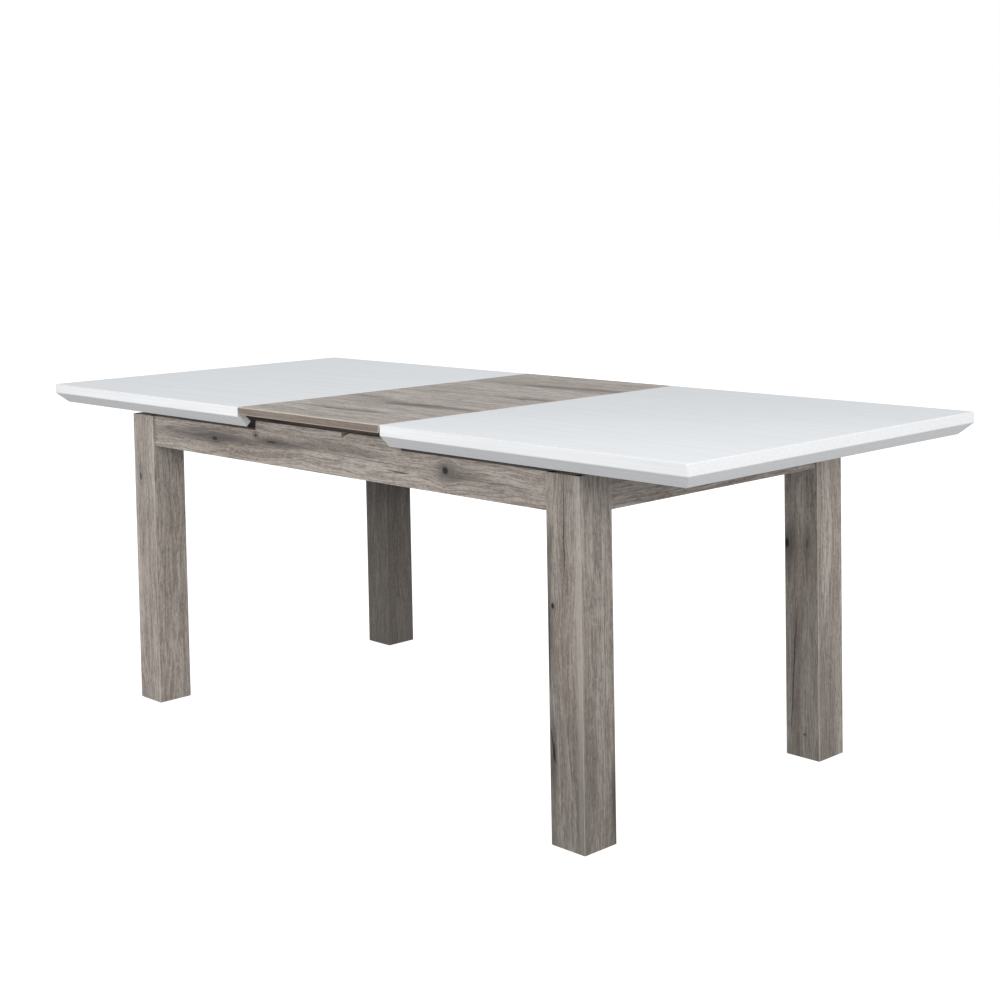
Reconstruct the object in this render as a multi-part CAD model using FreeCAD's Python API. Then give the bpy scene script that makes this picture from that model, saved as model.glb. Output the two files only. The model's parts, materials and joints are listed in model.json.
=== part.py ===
"""Extendable dining table: two white sliding halves and a loose wood-grain leaf on a fixed four-leg base.

Millimetres. +X runs along the table, -Y is its front, +Z is up, and the origin is on the floor under
the table's centre. The table is modelled open, with the leaf between the two halves.
"""
import FreeCAD, Part
import math
import os

# ---- overall size ----
top_height = 760.0
top_width = 900.0
half_length = 800.0
end_overhang = 49.0        # closed top past the outer faces of the legs, along X
side_overhang = 46.0       # top past the outer faces of the legs, along Y

# ---- table top ----
board_thick = 22.0
bevel_drop = 24.5          # height of the 45 degree strips under the boards, and their inset
strip_thick = 16.0         # thickness of the board that the bevelled strips are cut from
board_corner = 3.0         # radius of a board's outer corners
leaf_thick = 17.0
leaf_play = 0.7            # between the leaf's upper edges and each half
leaf_undercut = 4.5        # how far the leaf's ends lean in towards its underside
closed_gap = 0.4           # between the two halves when the table is shut

# ---- base ----
leg_size = 86.0
leg_wall = 16.0
slide_gap = 10.5           # between the bevelled strips and the top of the base
apron_height = 73.0
apron_thick = 18.0
apron_setback = 5.0        # behind the outer faces of the legs
filler_height = 21.0
filler_overrun = 4.8       # past the open halves' inner ends
notch_place = 57.5         # straight side of the notch in the front filler strip
notch_width = 27.0
notch_depth = 11.0
block_fit = 0.1            # between a leg's walls and the blocks inside it
top_block_height = 100.0
foot_block_height = 30.0
glide_radius = 19.0
glide_height = 3.0
glide_pin_radius = 4.0
glide_pin_length = 20.0

# ---- slides ----
cross_rail_thick = 18.0
cross_rail_height = 40.0
rail_bracket_gap = 29.0    # between an outer cross rail and the corner brackets' flanges
guide_width = 24.0
guide_bracket_gap = 3.0    # between the ends of a guide rail and the corner brackets
guide_top_gap = 5.0        # between the guide rails and the boards that pass over them
runner_width = 22.0
runner_height = 40.0
runner_leg_gap = 13.0      # between an outer runner and the legs' inner faces
runner_end_gap = 13.0      # between a runner and the end apron when the top is open
runner_reach = 300.0       # length of a runner past the inner end of its board
runner_lift = 20.0         # between the runners and the cross rails under them; so deep a guide rail
                           # also closes the view through the slide gap
side_play = 1.0            # between a runner and its guide rail
tongue_depth = 6.5         # how far a tongue goes into its groove, which is side_play deeper
tongue_height = 9.4
tongue_play = 0.3          # above and below a tongue
tongue_drop = 25.0         # centre of a tongue below the boards
stop_length = 30.0
stop_catch = 14.0          # how far a stop block hangs below the tops of the cross rails
stop_play = 0.5

# ---- opening gear ----
opening = 245.0            # how far each half slides in until the top is shut
gear_module = 3.0
pinion_teeth = 20          # an even number, so both racks meet a tooth at the same time
pressure_angle = 20.0
backlash = 0.3
gear_thick = 12.0
gear_gap = 0.5             # above and below the pinion
washer_thick = 1.5
washer_radius = 11.0
rack_back = 18.0           # from a rack's pitch line to its back
rack_spare = 30.0          # toothed length past the pinion at each end of the travel
rack_hold = 120.0          # length of a rack under its own board
pin_radius = 5.0
pin_play = 0.08
pin_head_radius = 9.0
pin_head_height = 2.5
pin_into_wood = 30.0

# ---- leaf underside ----
batten_width = 20.0
batten_depth = 30.0
batten_inset = 15.0        # ends of the battens inside the ends of the leaf's underside
batten_play = 1.0          # between a batten and the filler strip beside it
packer_inset = 7.5         # the same for the packers
packer_margin = 2.0        # a packer stops this far inside the runners' outer faces

# ---- joinery ----
hole_play = 0.15           # added to a fastener's radius for its hole
screw_radius = 2.0
screw_head_radius = 4.0
screw_head_height = 2.0
counterbore_play = 0.5
dowel_radius = 4.0
dowel_length = 40.0
dowel_in_leg = 15.0
end_dowel_length = 30.0
end_dowel_out = 10.0
end_dowel_spare = 3.5      # depth left past an end dowel in its pocket or hole
end_dowel_place = 200.0
bracket_thick = 2.5
bracket_height = 46.0
bracket_bottom = 12.0      # above the lower edge of the aprons
bracket_standoff = 10.0    # from a leg's inner corner, along the diagonal
bracket_flange = 30.0
bolt_radius = 4.0
bolt_in_leg = 70.0
bolt_out = 18.0            # past the corner bracket
nut_flats = 13.0
nut_height = 6.5
angle_thick = 2.0
angle_flange = 28.0
angle_height = 34.0
angle_screw_rise = 9.0     # screws above and below the middle of a steel angle
apron_screw_length = 15.0

# ---- levels and places that follow ----
board_under = top_height - board_thick
strip_under = board_under - bevel_drop
base_top = strip_under - slide_gap
apron_under = base_top - apron_height
leaf_under = top_height - leaf_thick
open_x = opening + closed_gap / 2
outer_x = open_x + half_length
half_width = top_width / 2
leg_x = half_length + closed_gap / 2 - end_overhang
leg_y = half_width - side_overhang
leg_in_x = leg_x - leg_size
leg_in_y = leg_y - leg_size
apron_x = leg_x - apron_setback
apron_y = leg_y - apron_setback
apron_in_x = apron_x - apron_thick
apron_in_y = apron_y - apron_thick
filler_length = 2 * (open_x + filler_overrun)
batten_length = 2 * (open_x - leaf_play - leaf_undercut - batten_inset)
packer_length = 2 * (open_x - leaf_play - leaf_undercut - packer_inset)
guide_place = leg_in_y - runner_leg_gap - runner_width - side_play - guide_width / 2
runner_hold = apron_in_x - runner_end_gap - open_x
bracket_bend = leg_in_x + leg_in_y - bracket_standoff * math.sqrt(2) - apron_in_y
guide_reach = (bracket_bend + apron_in_y - bracket_thick * math.sqrt(2) - guide_bracket_gap
               - guide_place - guide_width / 2)
cross_rail_place = bracket_bend - bracket_flange - rail_bracket_gap - cross_rail_thick / 2
runner_under = board_under - runner_height
cross_rail_top = runner_under - runner_lift
cross_rail_under = cross_rail_top - cross_rail_height
guide_top = board_under - guide_top_gap
tongue_z = board_under - tongue_drop
gear_under = cross_rail_top + washer_thick + gear_gap
gear_top = gear_under + gear_thick
pitch_radius = gear_module * pinion_teeth / 2
CORNERS = {"front_left": (-1, -1), "front_right": (1, -1), "rear_left": (-1, 1), "rear_right": (1, 1)}


def vec(x, y, z):
    return FreeCAD.Vector(x, y, z)


def box(x0, x1, y0, y1, z0, z1):
    """A box between two corners given in any order."""
    low = vec(min(x0, x1), min(y0, y1), min(z0, z1))
    return Part.makeBox(abs(x1 - x0), abs(y1 - y0), abs(z1 - z0), low)


def plate(points, z0, z1):
    """A flat outline in plan, from z0 up to z1."""
    wire = Part.makePolygon([vec(x, y, z0) for x, y in points + points[:1]])
    return Part.Face(wire).extrude(vec(0, 0, z1 - z0))


def bar_along_x(section, x0, x1):
    """A section of (y, z) points run from x0 to x1."""
    wire = Part.makePolygon([vec(x0, y, z) for y, z in section + section[:1]])
    return Part.Face(wire).extrude(vec(x1 - x0, 0, 0))


def rod(start, direction, radius, length):
    return Part.makeCylinder(radius, length, vec(*start), vec(*direction))


def half_turn(shape):
    """The same shape turned half a turn about the table's vertical centre line."""
    turned = shape.copy()
    turned.rotate(vec(0, 0, 0), vec(0, 0, 1), 180)
    return turned


def mirrored(shape, sx, sy):
    """A shape made for the +X +Y corner, moved to another one."""
    out = shape.copy()
    if sx < 0:
        out = out.mirror(vec(0, 0, 0), vec(1, 0, 0))
    if sy < 0:
        out = out.mirror(vec(0, 0, 0), vec(0, 1, 0))
    return out


def cut_all(shape, tools):
    return shape.cut(tools) if tools else shape


def save(name, solids):
    """One STEP file for a node that holds one or more separate solids."""
    shape = solids[0] if len(solids) == 1 else Part.makeCompound(solids)
    for solid in shape.Solids:
        if not solid.isValid():
            raise ValueError(name + " holds a solid that is not valid")
    shape.exportStep(os.path.join("parts", name + ".step"))


# ---- fasteners: each gives the piece and the hole that it needs ----
def screw(seat, direction, length):
    """A screw whose head sits on seat and whose shank runs length along direction."""
    back = [-d * screw_head_height for d in direction]
    head_at = [s + b for s, b in zip(seat, back)]
    head = rod(head_at, direction, screw_head_radius, screw_head_height)
    return head.fuse(rod(seat, direction, screw_radius, length)).removeSplitter()


def screw_hole(seat, direction, length):
    return rod(seat, direction, screw_radius + hole_play, length + hole_play)


def counterbore(mouth, direction, depth):
    return rod(mouth, direction, screw_head_radius + counterbore_play, depth)


def deep_screw(mouth, direction, sink, length):
    """A screw sunk below the face at mouth, with the holes for it."""
    seat = [m + d * sink for m, d in zip(mouth, direction)]
    holes = [counterbore(mouth, direction, sink), screw_hole(seat, direction, length)]
    return screw(seat, direction, length), holes


# ---- corner joint, made for the +X +Y corner ----
def corner_bolt_levels():
    middle = apron_under + bracket_bottom + bracket_height / 2
    return [middle - bracket_height / 4, middle + bracket_height / 4]


def corner_web_distance():
    """Distance of the bracket's web from the origin, along the diagonal, at its leg side."""
    return (leg_in_x + leg_in_y) / math.sqrt(2) - bracket_standoff


def corner_bracket():
    """A bent steel plate: a web across the diagonal, and a flange on each apron."""
    near = corner_web_distance() * math.sqrt(2)
    far = near - bracket_thick * math.sqrt(2)
    x_bend = near - apron_in_y
    y_bend = near - apron_in_x
    outline = [
        (x_bend - bracket_flange, apron_in_y),
        (x_bend, apron_in_y),
        (apron_in_x, y_bend),
        (apron_in_x, y_bend - bracket_flange),
        (apron_in_x - bracket_thick, y_bend - bracket_flange),
        (apron_in_x - bracket_thick, far - apron_in_x + bracket_thick),
        (far - apron_in_y + bracket_thick, apron_in_y - bracket_thick),
        (x_bend - bracket_flange, apron_in_y - bracket_thick),
    ]
    low = apron_under + bracket_bottom
    body = plate(outline, low, low + bracket_height)
    holes = [bolt_shank(z, bolt_radius + hole_play) for z in corner_bolt_levels()]
    holes += [screw_hole(seat, way, apron_screw_length) for seat, way in corner_screw_places()]
    return cut_all(body, holes)


def bolt_start():
    """Plan position of the free end of a corner bolt."""
    reach = corner_web_distance() - bracket_thick - bolt_out
    middle_x = (leg_in_x - leg_in_y) / 2
    return middle_x + reach / math.sqrt(2), -middle_x + reach / math.sqrt(2)


def bolt_shank(z, radius):
    x, y = bolt_start()
    length = bolt_out + bracket_thick + bracket_standoff + bolt_in_leg
    return rod((x, y, z), (1, 1, 0), radius, length)


def corner_nut(z):
    """A hexagon nut on the free end of a corner bolt, against the bracket."""
    across = nut_flats / math.sqrt(3)
    ring = [vec(across * math.cos(a), across * math.sin(a), 0)
            for a in (math.radians(60 * i) for i in range(7))]
    blank = Part.Face(Part.makePolygon(ring)).extrude(vec(0, 0, nut_height))
    nut = blank.cut(rod((0, 0, 0), (0, 0, 1), bolt_radius + hole_play, nut_height))
    nut.rotate(vec(0, 0, 0), vec(0, 1, 0), 90)
    nut.rotate(vec(0, 0, 0), vec(0, 0, 1), 45)
    x, y = bolt_start()
    along = (bolt_out - nut_height) / math.sqrt(2)
    nut.translate(vec(x + along, y + along, z))
    return nut


def corner_screw_places():
    """Seat and direction of each screw that holds a corner bracket to its aprons."""
    near = corner_web_distance() * math.sqrt(2)
    x_mid = near - apron_in_y - bracket_flange / 2
    y_mid = near - apron_in_x - bracket_flange / 2
    places = []
    for z in corner_bolt_levels():
        places.append(((x_mid, apron_in_y - bracket_thick, z), (0, 1, 0)))
        places.append(((apron_in_x - bracket_thick, y_mid, z), (1, 0, 0)))
    return places


def apron_dowel_places():
    """Start and direction, from inside the leg, of the dowels into the two aprons of a corner."""
    places = []
    for z in (apron_under + apron_height / 4, base_top - apron_height / 4):
        places.append(((leg_in_x + dowel_in_leg, apron_y - apron_thick / 2, z), (-1, 0, 0)))
        places.append(((apron_x - apron_thick / 2, leg_in_y + dowel_in_leg, z), (0, -1, 0)))
    return places


def corner_holes():
    """Every hole that the corner joint makes in the leg, its top block and the aprons."""
    holes = [bolt_shank(z, bolt_radius + hole_play) for z in corner_bolt_levels()]
    holes += [screw_hole(seat, way, apron_screw_length) for seat, way in corner_screw_places()]
    for start, way in apron_dowel_places():
        holes.append(rod([s - w * hole_play for s, w in zip(start, way)], way,
                         dowel_radius + hole_play, dowel_length + 2 * hole_play))
    return holes


# ---- legs ----
def leg_panels():
    """Four mitred panels that make one hollow leg, for the +X +Y corner."""
    outer = [(leg_in_x, leg_in_y), (leg_x, leg_in_y), (leg_x, leg_y), (leg_in_x, leg_y)]
    w = leg_wall
    inner = [(leg_in_x + w, leg_in_y + w), (leg_x - w, leg_in_y + w),
             (leg_x - w, leg_y - w), (leg_in_x + w, leg_y - w)]
    holes = corner_holes()
    panels = []
    for i in range(4):
        j = (i + 1) % 4
        panel = plate([outer[i], outer[j], inner[j], inner[i]], glide_height, base_top)
        panels.append(cut_all(panel, holes))
    return panels


def leg_block(z0, z1):
    w = leg_wall + block_fit
    return box(leg_in_x + w, leg_x - w, leg_in_y + w, leg_y - w, z0, z1)


def leg_axis():
    return leg_x - leg_size / 2, leg_y - leg_size / 2


def glide():
    x, y = leg_axis()
    disc = rod((x, y, 0), (0, 0, 1), glide_radius, glide_height)
    pin = rod((x, y, glide_height), (0, 0, 1), glide_pin_radius, glide_pin_length)
    return disc.fuse(pin).removeSplitter()


def make_legs():
    x, y = leg_axis()
    pin_hole = rod((x, y, glide_height), (0, 0, 1), glide_pin_radius + hole_play,
                   glide_pin_length + hole_play)
    panels = leg_panels()
    top_block = cut_all(leg_block(base_top - top_block_height, base_top), corner_holes())
    foot_block = leg_block(glide_height, glide_height + foot_block_height).cut(pin_hole)
    top_blocks, foot_blocks, glides = [], [], []
    for corner, (sx, sy) in CORNERS.items():
        save("leg_" + corner, [mirrored(p, sx, sy) for p in panels])
        glides.append(mirrored(glide(), sx, sy))
        top_blocks.append(mirrored(top_block, sx, sy))
        foot_blocks.append(mirrored(foot_block, sx, sy))
    save("leg_top_blocks", top_blocks)
    save("leg_foot_blocks", foot_blocks)
    save("foot_glides", glides)


def make_corner_joints():
    brackets, bolts, nuts, screws, dowels = [], [], [], [], []
    for sx, sy in CORNERS.values():
        brackets.append(mirrored(corner_bracket(), sx, sy))
        for z in corner_bolt_levels():
            bolts.append(mirrored(bolt_shank(z, bolt_radius), sx, sy))
            nuts.append(mirrored(corner_nut(z), sx, sy))
        for seat, way in corner_screw_places():
            screws.append(mirrored(screw(seat, way, apron_screw_length - bracket_thick), sx, sy))
        for start, way in apron_dowel_places():
            dowels.append(mirrored(rod(start, way, dowel_radius, dowel_length), sx, sy))
    save("corner_brackets", brackets)
    save("corner_bolts", bolts)
    save("corner_nuts", nuts)
    save("corner_bracket_screws", screws)
    save("apron_dowels", dowels)


# ---- aprons, filler strips and cross rails ----
def angle_sides():
    """Each cross rail's place along X, and the side of it that its steel angles are on."""
    return [(-cross_rail_place, 1), (0.0, 1), (cross_rail_place, -1)]


def steel_angle(place, side, sy):
    """A steel angle in the corner between a cross rail and the long apron at sy, with its screws."""
    face_x = place + side * cross_rail_thick / 2
    face_y = sy * apron_in_y
    middle = (cross_rail_under + cross_rail_top) / 2
    z0, z1 = middle - angle_height / 2, middle + angle_height / 2
    on_apron = box(face_x, face_x + side * angle_flange, face_y, face_y - sy * angle_thick, z0, z1)
    on_rail = box(face_x, face_x + side * angle_thick, face_y, face_y - sy * angle_flange, z0, z1)
    angle = on_apron.fuse(on_rail).removeSplitter()
    screws, holes = [], []
    out = (angle_flange + angle_thick) / 2
    for z in (middle - angle_screw_rise, middle + angle_screw_rise):
        into_apron = (face_x + side * out, face_y - sy * angle_thick, z), (0, sy, 0)
        into_rail = (face_x + side * angle_thick, face_y - sy * out, z), (-side, 0, 0)
        for seat, way in (into_apron, into_rail):
            screws.append(screw(seat, way, apron_screw_length))
            holes.append(screw_hole(seat, way, apron_screw_length))
    return cut_all(angle, holes), screws, holes


def filler_screws():
    """Screws down through a filler strip into the long apron under it, at +Y."""
    y = apron_y - apron_thick / 2
    made = []
    for x in (-0.4 * filler_length, 0, 0.4 * filler_length):
        made.append(deep_screw((x, y, base_top + filler_height), (0, 0, -1),
                               screw_head_height + hole_play, 2 * filler_height - screw_head_height))
    return made


def guide_screws():
    """Screws up through the cross rails into the guide rail at +Y."""
    sink = cross_rail_height / 2
    return [deep_screw((x, guide_place, cross_rail_under), (0, 0, 1), sink, sink + 20)
            for x, side in angle_sides()]


def filler_notch():
    """A small notch in the upper edge of the front filler strip, straight on one side, sloped on the other."""
    z = base_top + filler_height
    over = 1.0
    points = [(notch_place, z + over), (notch_place, z - notch_depth),
              (notch_place + notch_width * (1 + over / notch_depth), z + over)]
    wire = Part.makePolygon([vec(x, -apron_y - over, z_) for x, z_ in points + points[:1]])
    return Part.Face(wire).extrude(vec(0, apron_thick + 2 * over, 0))


def make_base_boards():
    angles, angle_screws, angle_holes = [], [], []
    for place, side in angle_sides():
        for sy in (-1, 1):
            angle, screws, holes = steel_angle(place, side, sy)
            angles.append(angle)
            angle_screws += screws
            angle_holes += holes
    save("rail_angles", angles)
    save("rail_angle_screws", angle_screws)

    corner = []
    for sx, sy in CORNERS.values():
        corner += [mirrored(hole, sx, sy) for hole in corner_holes()]
    filler_made = filler_screws()
    for name, sy in (("front", -1), ("rear", 1)):
        strip_holes = [mirrored(hole, 1, sy) for made in filler_made for hole in made[1]]
        apron = box(-leg_in_x, leg_in_x, sy * apron_in_y, sy * apron_y, apron_under, base_top)
        save("apron_" + name, [cut_all(apron, corner + angle_holes + strip_holes)])
        strip = box(-filler_length / 2, filler_length / 2, sy * apron_in_y, sy * apron_y,
                    base_top, base_top + filler_height)
        if sy < 0:
            strip = strip.cut(filler_notch())
        save("filler_strip_" + name, [cut_all(strip, strip_holes)])
    for name, sx in (("left", -1), ("right", 1)):
        apron = box(sx * apron_in_x, sx * apron_x, -leg_in_y, leg_in_y, apron_under, base_top)
        save("apron_" + name, [cut_all(apron, corner)])
    save("filler_screws", [mirrored(made[0], 1, sy) for made in filler_made for sy in (-1, 1)])

    guide_made = guide_screws()
    rail_holes = [mirrored(hole, 1, sy) for made in guide_made for hole in made[1] for sy in (-1, 1)]
    rail_holes.append(pivot_hole())
    for name, (place, side) in zip(("left", "centre", "right"), angle_sides()):
        rail = box(place - cross_rail_thick / 2, place + cross_rail_thick / 2,
                   -apron_in_y, apron_in_y, cross_rail_under, cross_rail_top)
        save("cross_rail_" + name, [cut_all(rail, rail_holes + angle_holes)])
    rail = guide_rail()
    for name, sy in (("front", -1), ("rear", 1)):
        holes = [mirrored(hole, 1, sy) for made in guide_made for hole in made[1]]
        save("guide_rail_" + name, [cut_all(mirrored(rail, 1, sy), holes)])
    save("guide_rail_screws", [mirrored(made[0], 1, sy) for made in guide_made for sy in (-1, 1)])


def guide_rail():
    """A hardwood rail with a groove along each side, at +Y."""
    rail = box(-guide_reach, guide_reach, guide_place - guide_width / 2, guide_place + guide_width / 2,
               cross_rail_top, guide_top)
    half_groove = tongue_height / 2 + tongue_play
    depth = tongue_depth + side_play
    for side in (-1, 1):
        face = guide_place + side * guide_width / 2
        groove = box(-guide_reach, guide_reach, face, face - side * depth,
                     tongue_z - half_groove, tongue_z + half_groove)
        rail = rail.cut(groove)
    return rail


# ---- opening gear ----
def involute_angle(radius, base_radius):
    """The angle that an involute has turned through where it is radius from the centre."""
    roll = math.sqrt(max((radius / base_radius) ** 2 - 1, 0.0))
    return roll - math.atan(roll)


def pinion():
    """A spur gear with one tooth pointing along +Y, drilled for its pin."""
    base_radius = pitch_radius * math.cos(math.radians(pressure_angle))
    root = pitch_radius - 1.25 * gear_module
    tip = pitch_radius + gear_module
    half_tooth = (math.pi * gear_module / 2 - backlash) / (2 * pitch_radius)
    at_pitch = involute_angle(pitch_radius, base_radius)
    start = max(base_radius, root)
    steps = 5
    flank = []
    for i in range(steps + 1):
        radius = start + (tip - start) * i / steps
        flank.append((radius, half_tooth + at_pitch - involute_angle(radius, base_radius)))
    points = []
    for tooth in range(pinion_teeth):
        middle = math.pi / 2 + 2 * math.pi * tooth / pinion_teeth
        around = [(root, -flank[0][1])] + [(r, -a) for r, a in flank]
        around += [(r, a) for r, a in reversed(flank)] + [(root, flank[0][1])]
        for radius, angle in around:
            points.append((radius * math.cos(middle + angle), radius * math.sin(middle + angle)))
    gear = plate(points, gear_under, gear_top)
    return gear.cut(rod((0, 0, gear_under), (0, 0, 1), pin_radius + pin_play, gear_thick))


def pivot_hole():
    start = (0, 0, cross_rail_top - pin_into_wood - hole_play)
    return rod(start, (0, 0, 1), pin_radius + hole_play, pin_into_wood + hole_play)


def left_rack():
    """The left half's rack, along the rear side of the pinion, with a gap between teeth at X = 0."""
    pitch = math.pi * gear_module
    back = pitch_radius + rack_back
    tip = pitch_radius - gear_module
    root = pitch_radius + 1.25 * gear_module
    slope = math.tan(math.radians(pressure_angle))
    half_tooth = (pitch / 2 - backlash) / 2
    inner = rack_spare
    outer = -open_x - rack_hold
    points = [(outer, back), (outer, root)]
    first = -math.floor((opening + rack_spare) / pitch) - 0.5
    last = math.floor(rack_spare / pitch) - 0.5
    place = first
    while place <= last:
        x = place * pitch
        at_root = half_tooth + (root - pitch_radius) * slope
        at_tip = half_tooth - (pitch_radius - tip) * slope
        points += [(x - at_root, root), (x - at_tip, tip), (x + at_tip, tip), (x + at_root, root)]
        place += 1
    points += [(inner, root), (inner, back)]
    return plate(points, gear_under, gear_top)


def rack_screws():
    """Screws up through the left rack and its block into the board."""
    y = pitch_radius + (1.25 * gear_module + rack_back) / 2
    length = board_under - gear_under + board_thick - 8 - screw_head_height
    return [deep_screw((x, y, gear_under), (0, 0, 1), screw_head_height + hole_play, length)
            for x in (-open_x - rack_hold / 4, -open_x - 3 * rack_hold / 4)]


def left_rack_block():
    """Block that carries the left rack under the board."""
    return box(-open_x - rack_hold, -open_x - rack_spare / 2, pitch_radius, pitch_radius + rack_back,
               gear_top, board_under)


def make_gear():
    save("opening_pinion", [pinion()])
    pin_low = cross_rail_top - pin_into_wood
    head_low = gear_top + gear_gap
    pin = rod((0, 0, pin_low), (0, 0, 1), pin_radius, head_low - pin_low)
    head = rod((0, 0, head_low), (0, 0, 1), pin_head_radius, pin_head_height)
    save("pinion_pin", [pin.fuse(head).removeSplitter()])
    washer = rod((0, 0, cross_rail_top), (0, 0, 1), washer_radius, washer_thick)
    bore = rod((0, 0, cross_rail_top), (0, 0, 1), pin_radius + hole_play, washer_thick)
    save("pinion_washer", [washer.cut(bore)])


# ---- sliding halves, made for the left one ----
def board_screws():
    """Screws up through the runners of the left half into its board."""
    made = []
    for y in left_runner_places():
        for step in range(4):
            x = -open_x - 35 - step * (runner_hold - 70) / 3
            made.append(deep_screw((x, y, runner_under), (0, 0, 1), 10,
                                   runner_height - 10 + board_thick - 8))
    return made


def left_runner_places():
    """The left half's runner is outside the front guide rail and inside the rear one."""
    offset = (guide_width + runner_width) / 2 + side_play
    return [-(guide_place + offset), guide_place - offset]


def left_runner(y):
    x0, x1 = -open_x - runner_hold, -open_x + runner_reach
    body = box(x0, x1, y - runner_width / 2, y + runner_width / 2, runner_under, board_under)
    towards_rail = y + runner_width / 2
    tongue = box(x0, x1, towards_rail, towards_rail + tongue_depth + side_play,
                 tongue_z - tongue_height / 2, tongue_z + tongue_height / 2)
    return body.fuse(tongue).removeSplitter()


def left_board():
    board = box(-outer_x, -open_x, -half_width, half_width, board_under, top_height)
    corners = [edge for edge in board.Edges
               if abs(edge.Vertexes[0].X - edge.Vertexes[1].X) < 1e-6
               and abs(edge.Vertexes[0].Y - edge.Vertexes[1].Y) < 1e-6
               and edge.Vertexes[0].X < -outer_x + 1]
    return board.makeFillet(board_corner, corners)


def strip_section():
    """Bevelled strip: (distance in from the board's edge, height), a board laid at 45 degrees."""
    lean = strip_thick / math.sqrt(2)
    top_in = bevel_drop + lean - (bevel_drop - lean)
    return [(0, board_under), (bevel_drop, strip_under),
            (bevel_drop + lean, strip_under + lean), (top_in, board_under)]


def left_long_strip(sy):
    """The strip under the board's front or rear edge, mitred at the outer corner."""
    section = [(sy * (half_width - n), z) for n, z in strip_section()]
    deep = max(n for n, z in strip_section()) + 1
    strip = bar_along_x(section, -outer_x, -open_x)
    keep = plate([(-outer_x, sy * half_width), (-open_x, sy * half_width),
                  (-open_x, sy * (half_width - deep)), (-outer_x + deep, sy * (half_width - deep))],
                 strip_under - 1, board_under + 1)
    return strip.common(keep)


def left_end_strip():
    """The strip under the board's outer end, mitred at both corners."""
    deep = max(n for n, z in strip_section()) + 1
    wire = Part.makePolygon([vec(-outer_x + n, -half_width, z)
                             for n, z in strip_section() + strip_section()[:1]])
    strip = Part.Face(wire).extrude(vec(0, top_width, 0))
    keep = plate([(-outer_x, -half_width), (-outer_x + deep, -half_width + deep),
                  (-outer_x + deep, half_width - deep), (-outer_x, half_width)],
                 strip_under - 1, board_under + 1)
    return strip.common(keep)


def end_dowel(y, radius, inside, outside):
    """A round along X at the inner end of the left board."""
    z = board_under + board_thick / 2
    return rod((-open_x - inside, y, z), (1, 0, 0), radius, inside + outside)


def left_stop(y):
    """Block under a runner's inner end that meets the centre cross rail when the half is out."""
    x0 = cross_rail_thick / 2 + stop_play
    return box(x0, x0 + stop_length, y - runner_width / 2, y + runner_width / 2,
               cross_rail_top - stop_catch, runner_under)


def make_halves():
    screws = board_screws() + rack_screws()
    screw_holes = [hole for made in screws for hole in made[1]]
    places = left_runner_places()
    dowel_ys = (-end_dowel_place, end_dowel_place)
    fixed = [end_dowel(y, dowel_radius + hole_play, end_dowel_length - end_dowel_out + hole_play, 0)
             for y in dowel_ys]
    loose = [end_dowel(y, dowel_radius + 2 * hole_play, end_dowel_out + end_dowel_spare, 0)
             for y in dowel_ys]
    boards = {"left": fixed, "right": loose}
    for name in ("left", "right"):
        put = (lambda s: s) if name == "left" else half_turn
        save("top_board_" + name, [put(cut_all(left_board(), screw_holes + boards[name]))])
        front, rear = (-1, 1) if name == "left" else (1, -1)
        save("edge_strip_front_" + name, [put(left_long_strip(front))])
        save("edge_strip_rear_" + name, [put(left_long_strip(rear))])
        save("edge_strip_end_" + name, [put(left_end_strip())])
        outer, inner = [cut_all(left_runner(y), screw_holes) for y in places]
        front_runner, rear_runner = (outer, inner) if name == "left" else (inner, outer)
        save("runner_front_" + name, [put(front_runner)])
        save("runner_rear_" + name, [put(rear_runner)])
        save("board_screws_" + name, [put(made[0]) for made in screws])
        save("stop_blocks_" + name, [put(left_stop(y)) for y in places])
        save("rack_" + name, [put(cut_all(left_rack(), screw_holes))])
        save("rack_block_" + name, [put(cut_all(left_rack_block(), screw_holes))])
    save("end_dowels", [end_dowel(y, dowel_radius, end_dowel_length - end_dowel_out, end_dowel_out)
                        for y in dowel_ys])


# ---- leaf ----
def leaf_pocket(y):
    """A pocket in the leaf's left end, open below, that drops over an end dowel."""
    r = dowel_radius + 2 * hole_play
    z = board_under + board_thick / 2
    out, deep = leaf_play + 1, end_dowel_out + end_dowel_spare
    slot = box(-open_x - out, -open_x + deep, y - r, y + r, leaf_under - 1, z)
    return slot.fuse(rod((-open_x - out, y, z), (1, 0, 0), r, out + deep))


def batten_screws(y):
    """Screws up through a batten into the leaf."""
    return [deep_screw((x, y, leaf_under - batten_depth), (0, 0, 1), 12,
                       batten_depth - 12 + leaf_thick - 6)
            for x in (-0.4 * batten_length, 0, 0.4 * batten_length)]


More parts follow.
